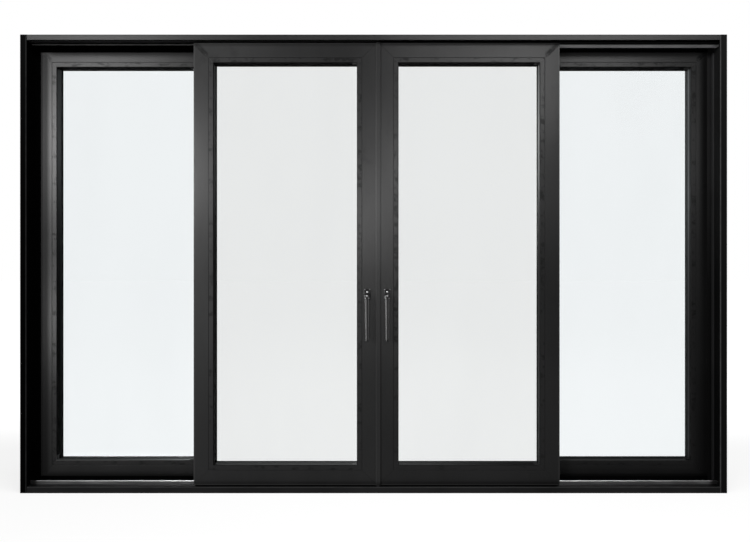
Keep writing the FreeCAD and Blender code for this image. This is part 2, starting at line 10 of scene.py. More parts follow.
import bmesh
import bpy
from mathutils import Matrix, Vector

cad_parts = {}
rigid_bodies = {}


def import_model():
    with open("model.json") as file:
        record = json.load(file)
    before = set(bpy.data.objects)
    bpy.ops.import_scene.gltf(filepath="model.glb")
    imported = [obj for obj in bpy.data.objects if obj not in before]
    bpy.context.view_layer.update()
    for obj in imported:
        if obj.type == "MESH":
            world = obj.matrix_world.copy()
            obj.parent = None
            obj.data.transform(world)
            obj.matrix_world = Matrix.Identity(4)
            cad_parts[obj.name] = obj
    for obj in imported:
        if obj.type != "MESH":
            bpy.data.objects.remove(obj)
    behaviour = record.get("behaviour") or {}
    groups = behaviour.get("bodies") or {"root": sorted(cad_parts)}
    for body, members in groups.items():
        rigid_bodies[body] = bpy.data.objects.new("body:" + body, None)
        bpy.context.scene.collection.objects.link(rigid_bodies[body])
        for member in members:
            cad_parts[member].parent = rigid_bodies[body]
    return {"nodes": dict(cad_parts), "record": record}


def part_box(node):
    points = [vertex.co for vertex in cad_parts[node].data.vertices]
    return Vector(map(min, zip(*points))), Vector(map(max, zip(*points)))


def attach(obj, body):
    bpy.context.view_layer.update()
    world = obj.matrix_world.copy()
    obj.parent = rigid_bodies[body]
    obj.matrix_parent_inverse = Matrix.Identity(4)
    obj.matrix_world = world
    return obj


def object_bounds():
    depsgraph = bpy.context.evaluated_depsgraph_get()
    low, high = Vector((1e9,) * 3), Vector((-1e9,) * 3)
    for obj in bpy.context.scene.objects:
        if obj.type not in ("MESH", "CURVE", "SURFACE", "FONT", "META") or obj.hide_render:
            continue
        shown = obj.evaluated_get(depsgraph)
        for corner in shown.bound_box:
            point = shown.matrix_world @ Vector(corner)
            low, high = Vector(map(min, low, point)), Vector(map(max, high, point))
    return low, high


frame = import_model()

CAD_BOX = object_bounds()
WHITE = (1.0, 1.0, 1.0, 1.0)
IMAGE_WIDTH_PX = 750
IMAGE_HEIGHT_PX = 542
log = logging.getLogger("patio_door")

Number = Union[int, float]

# Past every place on the door, in metres
EVERYWHERE = 9.0
# Length over which a painted mark ends, in metres
SOFT_END = 0.002
# Middle value of a noise
MIDDLE = 0.5
UNSTRETCHED = (1.0, 1.0, 1.0)


class Side(Enum):
    """Left or right half of the door, seen from the room."""

    LEFT = "left"
    RIGHT = "right"

    @property
    def outward(self) -> int:
        """Direction along X that leads away from the middle."""
        return -1 if self is Side.LEFT else 1


class Subject(Enum):
    """Part of the door that a lamp shines on."""

    LEAVES = "leaves"
    FIXED = "fixed"
    FRAME = "frame"
    TRACK = "track"
    HANDLES = "handles"
    FLOOR = "floor"

    @staticmethod
    def of(name: str) -> tuple["Subject", ...]:
        """Subjects that a node or piece belongs to.

        Args:
            name: Its name.

        Returns:
            The subjects. Panes have none, because no lamp shines on them.
        """
        if name.endswith("_glass"):
            return ()
        if name == "floor":
            return (Subject.FLOOR,)
        if "fixed" in name:
            return (Subject.FIXED,)
        if "rose" in name or "lever" in name:
            return (Subject.LEAVES,) if "screw" in name else (Subject.LEAVES, Subject.HANDLES)
        if any(word in name for word in ("leaf", "astragal", "screw")):
            return (Subject.LEAVES,)
        if name in ("sill_rail", "head_guide_strip", "head_guide_channel"):
            return (Subject.TRACK,)
        return (Subject.FRAME,)


@dataclass(frozen=True)
class Pattern:
    """Fractal noise that a finish is mottled with.

    The span holds the noise values at which a spot starts and is whole.
    """

    per_m: float
    octaves: float = 3.0
    finer: float = 0.6
    stretch: tuple[float, float, float] = UNSTRETCHED
    span: tuple[float, float] = (0.5, 1.0)


CLOUDS = Pattern(2.6, 4.0, 0.55, (1.0, 1.0, 0.45), (0.32, 0.68))
RUBS = Pattern(38.0, 5.0, 0.6, (1.0, 1.0, 0.22), (0.5, 0.72))
PATCHES = Pattern(9.0, 3.0, 0.5, span=(0.62, 0.8))
EDGE_WEAR = Pattern(17.0, span=(0.2, 0.7))
STREAKS = Pattern(55.0, 4.0, 0.65, span=(0.25, 0.6))
BLOTCHES = Pattern(24.0, 3.0, 0.6, (1.0, 1.0, 1.6), (0.5, 0.66))
RUBBER_GRAIN = Pattern(420.0)
DUST = Pattern(14.0, 4.0, span=(0.52, 0.8))
METAL_MARKS = Pattern(7.0, 5.0, 0.65, (1.0, 3.0, 3.0), (0.45, 0.75))
PLASTIC_GRAIN = Pattern(700.0, 2.0, 0.5)
PLASTIC_CLOUDS = Pattern(22.0, 3.0, 0.5, span=(0.35, 0.7))
WIPES = Pattern(3.2, 4.0, 0.6, (1.0, 1.0, 0.3), (0.4, 0.75))


class Ink:
    """One shader socket that takes part in arithmetic."""

    def __init__(self, graph: "Graph", socket: Any) -> None:
        """Wrap a socket.

        Args:
            graph: The node graph that the socket belongs to.
            socket: The output socket.
        """
        self.graph = graph
        self.socket = socket

    def _math(self, operation: str, *values: Any) -> "Ink":
        """Add one Math node.

        Args:
            operation: Name of the Math operation.
            values: Inputs, as numbers or Ink.

        Returns:
            The node's value.
        """
        return self.graph.node("ShaderNodeMath", {"operation": operation}, dict(enumerate(values)))

    def __add__(self, other: Any) -> "Ink":
        """Sum."""
        return self._math("ADD", self, other)

    def __radd__(self, other: Any) -> "Ink":
        """Sum with a number on the left."""
        return self._math("ADD", other, self)

    def __sub__(self, other: Any) -> "Ink":
        """Difference."""
        return self._math("SUBTRACT", self, other)

    def __rsub__(self, other: Any) -> "Ink":
        """Difference from a number."""
        return self._math("SUBTRACT", other, self)

    def __mul__(self, other: Any) -> "Ink":
        """Product."""
        return self._math("MULTIPLY", self, other)

    def __rmul__(self, other: Any) -> "Ink":
        """Product with a number on the left."""
        return self._math("MULTIPLY", other, self)

    def __abs__(self) -> "Ink":
        """Size without its sign."""
        return self._math("ABSOLUTE", self)

    def at_least(self, other: Any) -> "Ink":
        """The larger of two values."""
        return self._math("MAXIMUM", self, other)

    def at_most(self, other: Any) -> "Ink":
        """The smaller of two values."""
        return self._math("MINIMUM", self, other)

    def step(self, low: Number, high: Number) -> "Ink":
        """Smooth step from 0 at low to 1 at high.

        Args:
            low: Value that gives 0.
            high: Value that gives 1. It may be under low, which turns the step round.

        Returns:
            The step as a value from 0 to 1.
        """
        settings = {"interpolation_type": "SMOOTHSTEP", "clamp": True}
        start, end, to_low, to_high = (low, high, 0.0, 1.0) if low < high else (high, low, 1.0, 0.0)
        sockets = {"Value": self, "From Min": start, "From Max": end, "To Min": to_low, "To Max": to_high}
        return self.graph.node("ShaderNodeMapRange", settings, sockets)


class Graph:
    """Node graph of one material or of the world."""

    def __init__(self, owner: Any) -> None:
        """Empty the graph of its owner.

        Args:
            owner: A material or world.
        """
        owner.use_nodes = True
        self.tree = owner.node_tree
        self.tree.nodes.clear()

    def node(
        self,
        kind: str,
        settings: Optional[dict] = None,
        sockets: Optional[dict] = None,
        out: Union[int, str] = 0,
    ) -> Ink:
        """Add a node.

        Args:
            kind: Type of the node.
            settings: Attributes, which are set first.
            sockets: Values or Ink by socket name or number.
            out: Name or number of the output that is returned.

        Returns:
            The chosen output.
        """
        made = self.tree.nodes.new(kind)
        for name, value in (settings or {}).items():
            setattr(made, name, value)
        for name, value in (sockets or {}).items():
            target = made.inputs[name]
            if isinstance(value, Ink):
                self.tree.links.new(value.socket, target)
            else:
                target.default_value = value
        return Ink(self, made.outputs[out])

    def place(self) -> Ink:
        """Object coordinates, which are metres in the row frame."""
        return self.node("ShaderNodeTexCoord", out="Object")

    def axis(self, vector: Ink, name: str) -> Ink:
        """One component of a vector."""
        return self.node("ShaderNodeSeparateXYZ", sockets={0: vector}, out=name)

    def noise(self, place: Ink, pattern: Pattern) -> Ink:
        """Fractal noise from 0 to 1, centred near 0.5.

        Args:
            place: Object coordinates.
            pattern: Its scale, detail and stretch.

        Returns:
            The noise value.
        """
        vector = place
        if pattern.stretch != UNSTRETCHED:
            inputs = {0: place, 1: pattern.stretch}
            vector = self.node("ShaderNodeVectorMath", {"operation": "MULTIPLY"}, inputs)
        sockets = {
            "Vector": vector,
            "Scale": pattern.per_m,
            "Detail": pattern.octaves,
            "Roughness": pattern.finer,
        }
        return self.node("ShaderNodeTexNoise", {}, sockets)

    def spots(self, place: Ink, pattern: Pattern) -> Ink:
        """Spots of a pattern, 0 between them and 1 inside."""
        return self.noise(place, pattern).step(*pattern.span)

    def blend(self, factor: Any, first: Any, second: Any) -> Ink:
        """Mix of two colours.

        Args:
            factor: Share of the second colour.
            first: Colour as Ink or (r, g, b).
            second: Colour as Ink or (r, g, b).

        Returns:
            The mixed colour.
        """
        colours = [value if isinstance(value, Ink) else (*value, 1.0) for value in (first, second)]
        sockets = {0: factor, 6: colours[0], 7: colours[1]}
        return self.node("ShaderNodeMix", {"data_type": "RGBA"}, sockets, out=2)

    def bump(self, height: Ink, distance: Number, strength: Number) -> Ink:
        """Normal bent by a height.

        Args:
            height: Height from 0 to 1.
            distance: Metres that a height of 1 stands for.
            strength: Share of the effect.

        Returns:
            The bent normal.
        """
        return self.node("ShaderNodeBump", {}, {"Height": height, "Distance": distance, "Strength": strength})

    def surface(self, sockets: dict) -> None:
        """Send a Principled shader with the given sockets to the material's output."""
        self.output(self.node("ShaderNodeBsdfPrincipled", {}, sockets))

    def output(self, shader: Ink, kind: str = "ShaderNodeOutputMaterial") -> None:
        """Send a shader to the output."""
        self.tree.links.new(shader.socket, self.tree.nodes.new(kind).inputs[0])


# Finishes

@dataclass(frozen=True)
class Finish:
    """Common part of the finishes: a name and a base colour."""

    name: str
    colour: tuple[float, float, float]

    def scaled(self, factor: float) -> tuple[float, ...]:
        """The base colour times a factor."""
        return tuple(factor * part for part in self.colour)

    def material(self) -> bpy.types.Material:
        """The material, made on its first use.

        Returns:
            The material that this finish's name stands for.
        """
        known = bpy.data.materials.get(self.name)
        if known is not None:
            return known
        made = bpy.data.materials.new(self.name)
        self.paint(Graph(made))
        return made

    def paint(self, graph: Graph) -> None:
        """Build the shader.

        Args:
            graph: Empty graph of the material.
        """
        raise NotImplementedError(self.name)


@dataclass(frozen=True)
class PaintedShade:
    """Stretch of painted shade, over which a coat gets darker and less glossy in place of shadow."""

    axis: str
    start: float
    end: float
    share: float
    front_of: float = EVERYWHERE

    def amount(self, graph: Graph, place: Ink) -> Ink:
        """Share of painted shade.

        Args:
            graph: Graph of the material.
            place: Object coordinates.

        Returns:
            0 before the start and the full share past the end.
        """
        in_front = graph.axis(place, "Y").step(self.front_of + SOFT_END, self.front_of)
        return graph.axis(place, self.axis).step(self.start, self.end) * in_front * self.share


@dataclass(frozen=True)
class EdgeHighlight:
    """Painted highlight along an edge of a profile, mottled like worn coat."""

    axis: str
    at: float
    half_width: float
    strength: float
    front_of: float = EVERYWHERE
    gap: tuple[float, float] = (EVERYWHERE, 0.0)
    below: float = EVERYWHERE
    softness: tuple[float, float] = (1.4, 0.6)
    least_wear: float = 0.6

    def amount(self, graph: Graph, place: Ink) -> Ink:
        """Strength of the edge's painted highlight.

        Args:
            graph: Graph of the material.
            place: Object coordinates.

        Returns:
            The line's strength on the edge, and 0 away from it.
        """
        bounds = (self.half_width * share for share in self.softness)
        line = abs(graph.axis(place, self.axis) - self.at).step(*bounds)
        wear = graph.spots(place, EDGE_WEAR) * (1.0 - self.least_wear) + self.least_wear
        kept = abs(graph.axis(place, "X") - self.gap[0]).step(self.gap[1], self.gap[1] + SOFT_END)
        kept = kept * graph.axis(place, "Z").step(self.below, self.below - 2 * SOFT_END)
        in_front = graph.axis(place, "Y").step(self.front_of + SOFT_END, self.front_of)
        return line * wear * kept * in_front * self.strength


@dataclass(frozen=True)
class PowderCoat(Finish):
    """Satin powder coat: fine grain, cloudy gloss and a little dust, with painted shade and painted
    highlights where they are given.
    """

    roughness: float = 0.5
    roughening: tuple[float, float, float] = (0.1, 0.05, 0.06)
    gloss: float = 0.34
    gloss_roughness: float = 0.28
    base_gloss: float = 0.05
    grain: Pattern = Pattern(900.0, 2.0, 0.6)
    grain_height: float = 0.00006
    grain_strength: float = 0.35
    lightest: float = 1.5
    dull: float = 0.4
    # Lift of the colour at painted highlights and worn edges.
    wear_and_highlight: float = 0.03
    patch_shade: float = 0.25
    least_gloss: float = 0.88
    cloud_gloss: float = 0.24
    rub_gloss: float = 0.06
    shade_loss: float = 0.95
    painted_shades: tuple[PaintedShade, ...] = ()
    edges: tuple[EdgeHighlight, ...] = ()

    def paint(self, graph: Graph) -> None:
        """Build the shader.

        Args:
            graph: Empty graph of the material.
        """
        place = graph.place()
        cloud = graph.noise(place, CLOUDS)
        rub = graph.spots(place, RUBS)
        grain = graph.noise(place, self.grain)
        dark, bright = self.marks(graph, place)
        tone = graph.blend(cloud.step(*CLOUDS.span), self.colour, self.scaled(self.lightest))
        # Patches and painted shade darken the colour; painted highlights and worn edges lighten it.
        tone = graph.blend(dark, tone, self.scaled(self.dull))
        tone = graph.blend(bright.at_most(1.0), tone, tuple(part + self.wear_and_highlight for part in self.colour))
        mottle = self.least_gloss + cloud * self.cloud_gloss - rub * self.rub_gloss
        by_cloud, by_rub, by_grain = self.roughening
        rougher = (cloud - MIDDLE) * by_cloud + rub * by_rub + (grain - MIDDLE) * by_grain
        graph.surface({
            "Base Color": tone,
            "Roughness": self.roughness + rougher,
            "Normal": graph.bump(grain, self.grain_height, self.grain_strength),
            "Specular IOR Level": self.base_gloss,
            "Coat Weight": mottle * (1.0 - dark * self.shade_loss) * (1.0 + bright) * self.gloss,
            "Coat Roughness": self.gloss_roughness,
        })

    def marks(self, graph: Graph, place: Ink) -> tuple[Ink, Ink]:
        """Where the coat is darker, by random patches and painted shade, and where it has painted highlights.

        Args:
            graph: Graph of the material.
            place: Object coordinates.

        Returns:
            Share of darkening, and share of painted highlight, which adds gloss and lightens the colour.
        """
        dark = graph.spots(place, PATCHES) * self.patch_shade
        for fade in self.painted_shades:
            dark = dark.at_least(fade.amount(graph, place))
        bright = dark * 0.0
        for edge in self.edges:
            bright = bright.at_least(edge.amount(graph, place))
        return dark, bright


@dataclass(frozen=True)
class PanelCoat(PowderCoat):
    """Powder coat of one panel, with its mitres, bead joint and smears, and with painted shade and painted
    highlights in its reveals and along its outer edges.

    Pairs are the places where a mark starts and is whole, in metres. Those of the mitre band are
    shares of its width.
    """

    side: Side = Side.LEFT
    rect: tuple[float, float, float, float] = (0.0, 1.0, 0.0, 1.0)
    face: float = 0.0
    profile: float = 0.106
    joint: float = 0.079
    mitre_band: float = 0.032
    lip: float = 0.0
    foot_shade: float = 0.8
    reveal_shine: float = 1.0
    foot_shine: float = 0.0
    front_depth: tuple[float, float] = (0.003, 0.0015)
    lip_depth: tuple[float, float] = (0.006, 0.003)
    lip_shade: float = 0.84
    deep: tuple[float, float] = (0.046, 0.054)
    foot_deep: float = 0.027
    low_part: tuple[float, float] = (1.5, 0.6)
    low_shade: float = 0.2
    low_loss: float = 0.55
    near_profile: tuple[float, float] = (0.03, 0.02)
    before_reveal: tuple[float, float] = (0.005, 0.002)
    groove: tuple[float, float] = (0.0026, 0.0008)
    hairline: tuple[float, float] = (0.0024, 0.0008)
    line_shade: float = 0.6
    border_shade: float = 0.3
    smear_shade: float = 0.75
    least_smear: float = 0.3
    band_at: float = 0.15
    band: tuple[float, float] = (0.6, 0.4)
    border_at: float = 0.8
    inner_end: tuple[float, float] = (0.085, 0.05)
    outer_half: tuple[float, float] = (0.0, 0.1)
    end_reach: float = 0.3
    outer_edge: tuple[float, float] = (0.008, 0.002)
    edge_shine: float = 0.25

    def marks(self, graph: Graph, place: Ink) -> tuple[Ink, Ink]:
        """Where the coat is darker, by joints, smears, blotches, patches and painted shade, and where it has
        painted highlights.

        Args:
            graph: Graph of the material.
            place: Object coordinates.

        Returns:
            Share of darkening, and share of painted highlight, which adds gloss and lightens the colour.
        """
        patches_and_shade, wear_and_highlight = super().marks(graph, place)
        front = (graph.axis(place, "Y") - self.face).step(*self.front_depth)
        # Painted highlight along the panel's outer edges.
        edge_highlight = front * self.from_edge(graph, place)[2].step(*self.outer_edge) * self.edge_shine
        shaded, shone = self.reveal_marks(graph, place)
        dark = (front * self.face_marks(graph, place)).at_least(shaded).at_least(patches_and_shade)
        return dark, edge_highlight.at_least(shone).at_least(wear_and_highlight)

    def from_edge(self, graph: Graph, place: Ink) -> tuple[Ink, Ink, Ink]:
        """Distances inwards from the panel's outline.

        Args:
            graph: Graph of the material.
            place: Object coordinates.

        Returns:
            Distance from the nearer side, from the nearer end and from the nearer of both.
        """
        x0, x1, z0, z1 = self.rect
        across, height = graph.axis(place, "X"), graph.axis(place, "Z")
        from_side = (across - x0).at_most(x1 - across)
        from_end = (height - z0).at_most(z1 - height)
        return from_side, from_end, from_side.at_most(from_end)

    def reveal_marks(self, graph: Graph, place: Ink) -> tuple[Ink, Ink]:
        """Painted shade and painted highlights on the faces that turn in towards the glass.

        Args:
            graph: Graph of the material.
            place: Object coordinates.

        Returns:
            Share of painted shade, and share of painted highlight, 0 outside these faces.
        """
        x0, x1, z0, _ = self.rect
        across, height = graph.axis(place, "X"), graph.axis(place, "Z")
        depth = graph.axis(place, "Y") - self.face
        reveal = self.from_edge(graph, place)[2].step(*(self.profile - gap for gap in self.before_reveal))
        start, whole = self.near_profile
        right_end = x1 - x0 - self.profile
        at_right = (across - x0).step(right_end - start, right_end - whole)
        at_foot = (height - z0).step(self.profile + start, self.profile + whole) * (1.0 - at_right)
        low = at_right * height.step(*self.low_part)
        # Painted shade on the reveals by side, depth and height; painted highlights on the right reveals and
        # the foot ledges.
        shade = (1.0 - at_right.at_least(at_foot)).at_least(
            (depth - at_right * self.lip).step(*self.lip_depth) * self.lip_shade
        )
        shade = shade.at_least((depth + at_foot * self.foot_deep).step(*self.deep))
        shade = shade.at_least(at_foot * self.foot_shade).at_least(low * self.low_shade)
        shine = at_right * (1.0 - low * self.low_loss) * self.reveal_shine
        return reveal * shade, reveal * shine.at_least(at_foot * self.foot_shine) * (1.0 - shade)

    def face_marks(self, graph: Graph, place: Ink) -> Ink:
        """Joints, smeared mitres and blotched beads of the front face.

        Args:
            graph: Graph of the material.
            place: Object coordinates.

        Returns:
            Share of darkening.
        """
        x0, x1, z0, z1 = self.rect
        from_side, from_end, from_edge = self.from_edge(graph, place)
        width = self.mitre_band
        groove = abs(from_edge - self.joint).step(*self.groove) * self.line_shade
        outside = (self.joint, self.joint - 2 * SOFT_END)
        corner = from_side.step(*outside) * from_end.step(*outside)
        beyond = from_side - from_end
        line = abs(beyond).step(*self.hairline) * self.line_shade
        border = abs(beyond - width * self.border_at).step(*self.hairline) * self.border_shade
        band = abs(beyond - width * self.band_at).step(*(width * share for share in self.band))
        streaks = self.least_smear + graph.spots(place, STREAKS) * (1.0 - self.least_smear)
        outward = (graph.axis(place, "X") - (x0 + x1) / 2) * self.side.outward
        fade = from_edge.step(*self.inner_end) * outward.step(*self.outer_half)
        upper = graph.axis(place, "Z").step(z0 + self.end_reach, z1 - self.end_reach)
        smear = (band * streaks * self.smear_shade).at_least(border) * fade * upper
        on_bead = from_edge.step(self.joint, self.joint + SOFT_END)
        bead = on_bead * graph.spots(place, BLOTCHES) * self.line_shade
        return groove.at_least(corner * line.at_least(smear)).at_least(bead)


@dataclass(frozen=True)
class Rubber(Finish):
    """Matt black rubber with a faint mould texture."""

    roughness: float = 0.72
    roughening: float = 0.2
    grain_height: float = 0.0001
    grain_strength: float = 0.4
    dusty: float = 2.2
    dust_share: float = 0.5
    specular: float = 0.2

    def paint(self, graph: Graph) -> None:
        """Build the shader.

        Args:
            graph: Empty graph of the material.
        """
        place = graph.place()
        grain = graph.noise(place, RUBBER_GRAIN)
        dust = graph.spots(place, DUST) * self.dust_share
        graph.surface({
            "Base Color": graph.blend(dust, self.colour, self.scaled(self.dusty)),
            "Roughness": self.roughness + (grain - MIDDLE) * self.roughening,
            "Normal": graph.bump(grain, self.grain_height, self.grain_strength),
            "Specular IOR Level": self.specular,
        })


@dataclass(frozen=True)
class BareMetal(Finish):
    """Bare metal drawn along one direction, with traffic marks."""

    roughness: float = 0.3
    lines: Pattern = Pattern(1400.0, 2.0, 0.6, (0.02, 1.0, 1.0))
    line_height: float = 0.00004
    line_strength: float = 0.5
    line_roughness: float = 0.18
    mark_roughness: float = 0.16
    mark_share: float = 0.55
    dull: float = 0.62

    def paint(self, graph: Graph) -> None:
        """Build the shader.

        Args:
            graph: Empty graph of the material.
        """
        place = graph.place()
        lines = graph.noise(place, self.lines)
        marks = graph.spots(place, METAL_MARKS)
        rougher = (lines - MIDDLE) * self.line_roughness + marks * self.mark_roughness
        graph.surface({
            "Base Color": graph.blend(marks * self.mark_share, self.colour, self.scaled(self.dull)),
            "Metallic": 1.0,
            "Roughness": self.roughness + rougher,
            "Normal": graph.bump(lines, self.line_height, self.line_strength),
        })


@dataclass(frozen=True)
class Plastic(Finish):
    """Moulded matt plastic."""

    roughness: float = 0.55
    roughening: float = 0.15
    grain_height: float = 0.00008
    grain_strength: float = 0.4
    lightest: float = 1.6
    specular: float = 0.3

    def paint(self, graph: Graph) -> None:
        """Build the shader.

        Args:
            graph: Empty graph of the material.
        """
        place = graph.place()
        cloud = graph.noise(place, PLASTIC_CLOUDS)
        paler = cloud.step(*PLASTIC_CLOUDS.span)
        graph.surface({
            "Base Color": graph.blend(paler, self.colour, self.scaled(self.lightest)),
            "Roughness": self.roughness + (cloud - MIDDLE) * self.roughening,
            "Normal": graph.bump(graph.noise(place, PLASTIC_GRAIN), self.grain_height, self.grain_strength),
            "Specular IOR Level": self.specular,
        })


@dataclass(frozen=True)
class PaneGlass(Finish):
    """Clear float glass that lets lamps through, with very faint wipe marks."""

    ior: float = 1.4
    wiped: float = 0.992

    def paint(self, graph: Graph) -> None:
        """Build the shader.

        Args:
            graph: Empty graph of the material.
        """
        wipe = graph.spots(graph.place(), WIPES)
        sockets = {
            "Base Color": graph.blend(wipe, self.colour, self.scaled(self.wiped)),
            "Roughness": 0.0,
            "IOR": self.ior,
            "Transmission Weight": 1.0,
        }
        glass = graph.node("ShaderNodeBsdfPrincipled", {}, sockets)
        clear = graph.node("ShaderNodeBsdfTransparent", {}, {"Color": (*self.colour, 1.0)})
        shadow = graph.node("ShaderNodeLightPath", out="Is Shadow Ray")
        graph.output(graph.node("ShaderNodeMixShader", {}, {0: shadow, 1: glass, 2: clear}))


# The frame's and the panels' coats below are copies of one black powder coat whose colour and gloss differ
# from part to part as painted light: lit and shaded copies. The grey head guide channel, guide strip and jamb
# strip are black parts coloured lighter as painted light.
COAT_BLACK = (0.0024, 0.0024, 0.0025)
LEAF_BLACK = (0.007, 0.007, 0.0072)
NOSE_FRONT = -0.096
EVEN_GRAIN = Pattern(900.0, 2.0, 0.6)
RUBBER = Rubber("glazing_rubber", (0.006, 0.006, 0.006))
SPACER = Plastic("spacer_black", (0.010, 0.010, 0.010), 0.6)
RAIL_METAL = BareMetal("bare_rail_metal", (0.66, 0.66, 0.67), 0.33)
STEEL = BareMetal("turned_steel", (0.52, 0.52, 0.53), 0.28, Pattern(1400.0, 2.0, 0.6, (1.0, 0.02, 1.0)))
SCREW_STEEL = BareMetal("screw_steel", (0.76, 0.76, 0.76), 0.4, EVEN_GRAIN)
# Darker copy of the screw steel, as painted shade, for the screw in the lever's hub.
SHADED_SCREW_STEEL = BareMetal("dull_screw_steel", (0.34, 0.34, 0.34), 0.4, EVEN_GRAIN)
GUIDE_PLASTIC = Plastic("guide_block_plastic", (0.02, 0.02, 0.02))
# Fixed panels and leaves: lit and shaded copies of the coat, and the strength of painted shade and painted
# highlights on their reveals and foot ledges.
FIXED_COAT = PanelCoat(
    "fixed_powder_coat", (0.005, 0.005, 0.0051), gloss=0.486, base_gloss=0.07, wear_and_highlight=0.043,
    lip=0.014, foot_shade=0.0, reveal_shine=1.05, foot_shine=2.8,
)
LEAF_COAT = PanelCoat(
    "leaf_powder_coat", LEAF_BLACK, gloss=0.68, base_gloss=0.1, wear_and_highlight=0.06, foot_shade=0.5, reveal_shine=0.45,
)
ASTRAGAL_COAT = PowderCoat("cover_strip_coat", LEAF_BLACK, gloss=0.68, base_gloss=0.1, wear_and_highlight=0.03)
# Head: painted shade along its lip's top edge and behind its lip's front face.
HEAD_COAT = PowderCoat(
    "head_powder_coat", COAT_BLACK, gloss=0.307, base_gloss=0.033, dull=0.15,
    painted_shades=(PaintedShade("Z", 2.3935, 2.398, 0.4), PaintedShade("Y", -0.098, -0.094, 0.9)),
)
# Sill: painted shade on its floor behind the nose, almost black behind the middle, and a little darker
# towards the right; a painted highlight along the nose's top edge.
SILL_COAT = PowderCoat(
    "sill_powder_coat", (0.0125, 0.0125, 0.0128), gloss=0.067, base_gloss=0.033, dull=0.06, wear_and_highlight=0.047,
    painted_shades=(PaintedShade("Y", -0.098, -0.094, 0.75), PaintedShade("Y", 0.0, 0.01, 0.97), PaintedShade("X", 0.0, 1.0, 0.2)),
    edges=(EdgeHighlight("Z", 0.0305, 0.0022, 0.5, NOSE_FRONT),),
)
# Jambs: the right is a lit copy of the left's coat, lighter as painted light. Painted shade darkens almost
# all of the left jamb and the right jamb's lip front and lower part; painted highlights run along both lips
# near their inner edges.
SHADED_LEFT_JAMB_COAT = PowderCoat(
    "left_jamb_powder_coat", (0.009, 0.009, 0.0092), gloss=0.06, base_gloss=0.02, dull=0.1, wear_and_highlight=0.023,
    painted_shades=(PaintedShade("X", -1.8494, -1.8488, 1.0, 0.098),),
    edges=(EdgeHighlight("X", -1.8193, 0.003, 0.6, NOSE_FRONT),),
)
LIT_RIGHT_JAMB_COAT = PowderCoat(
    "right_jamb_powder_coat", (0.0187, 0.0187, 0.019), gloss=0.013, base_gloss=0.033, dull=0.1, wear_and_highlight=0.053,
    painted_shades=(PaintedShade("Y", -0.088, -0.096, 0.82), PaintedShade("Z", 1.8, 1.0, 0.72)),
    edges=(EdgeHighlight("X", 1.8155, 0.0026, 1.0, NOSE_FRONT),),
)
# Jamb strip: lighter than the black coat as painted light, and darker lower down as painted shade.
LIT_STRIP_COAT = PowderCoat(
    "jamb_strip_coat", (0.033, 0.033, 0.034), gloss=0.067, painted_shades=(PaintedShade("Z", 1.8, 1.0, 0.5),),
)
# Head guide channel: lighter than the black coat as painted light, with painted shade over its rear and its
# right-hand part and a painted highlight line at one height.
LIT_GUIDE_COAT = PowderCoat(
    "head_guide_coat", (0.055, 0.055, 0.056), gloss=0.1, dull=0.0, wear_and_highlight=0.28,
    painted_shades=(PaintedShade("Y", -0.03, -0.026, 1.0), PaintedShade("X", 0.02, 0.03, 1.0)),
    edges=(EdgeHighlight("Z", 2.3765, 0.0034, 1.0),),
)
# Head guide strip: a black part coloured light grey as painted light, with painted shadow of the head's lip
# over its upper part and painted shade on its front face.
LIT_GUIDE_STRIP_COAT = PowderCoat(
    "guide_strip_coat", (0.48, 0.48, 0.486), gloss=0.2, dull=0.04,
    painted_shades=(PaintedShade("Y", -0.0472, -0.0478, 0.8), PaintedShade("Z", 2.3665, 2.3685, 0.96)),
)
HANDLE_COAT = PowderCoat(
    "handle_satin_black", LEAF_BLACK, gloss=0.4, gloss_roughness=0.22, base_gloss=0.1,
    grain=Pattern(1200.0, 2.0, 0.6), wear_and_highlight=0.24,
)
FIXED_GLASS = PaneGlass("fixed_pane_glass", (0.977, 0.994, 1.0))
LEAF_GLASS = PaneGlass("leaf_pane_glass", (0.944, 0.952, 0.951))


def coat_of_panel(name: str, side: Side, nodes: Iterable[str], painted_shades: tuple[PaintedShade, ...]) -> PanelCoat:
    """Powder coat of one panel, with smears on its own mitres.

    Args:
        name: Name of the panel.
        side: Its half of the door.
        nodes: Its stiles and rails.
        painted_shades: Where it lies in the dark of the frame's pockets.

    Returns:
        The finish.
    """
    boxes = [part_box(node) for node in nodes]
    rect = (
        min(low.x for low, _ in boxes),
        max(high.x for _, high in boxes),
        min(low.z for low, _ in boxes),
        max(high.z for _, high in boxes),
    )
    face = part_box(name + "_top_rail")[0].y
    model = FIXED_COAT if "fixed" in name else LEAF_COAT
    return replace(model, name=name + "_powder_coat", side=side, rect=rect, face=face, painted_shades=painted_shades)


def dress(node: str, finish: Finish) -> None:
    """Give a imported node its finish.

    Args:
        node: Name of the node.
        finish: The finish for all its slots.
    """
    material = finish.material()
    target = frame["nodes"][node]
    if not target.material_slots:
        target.data.materials.append(material)
    for slot in target.material_slots:
        slot.material = material
    log.info("dressed %s with %s", node, finish.name)


def piece_from(name: str, mesh: bmesh.types.BMesh, body: str, finish: Finish) -> None:
    """Turn a bmesh into a smoothly shaded piece of the door.

    Args:
        name: Name of the piece.
        mesh: Its shape, in metres in the row frame. It is freed.
        body: Body that it moves with.
        finish: Its finish.
    """
    bmesh.ops.recalc_face_normals(mesh, faces=mesh.faces[:])
    for face in mesh.faces:
        face.smooth = True
    made = linked(name, mesh)
    made.data.materials.append(finish.material())
    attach(made, body)
    log.info("made %s on %s", name, body)


def linked(name: str, mesh: bmesh.types.BMesh) -> Any:
    """Object of a bmesh, linked to the scene.

    Args:
        name: Name of the object and of its mesh.
        mesh: The shape. It is freed.

    Returns:
        The object.
    """
    data = bpy.data.meshes.new(name)
    mesh.to_mesh(data)
    mesh.free()
    made = bpy.data.objects.new(name, data)
    bpy.context.scene.collection.objects.link(made)
    return made


# Sub-assemblies

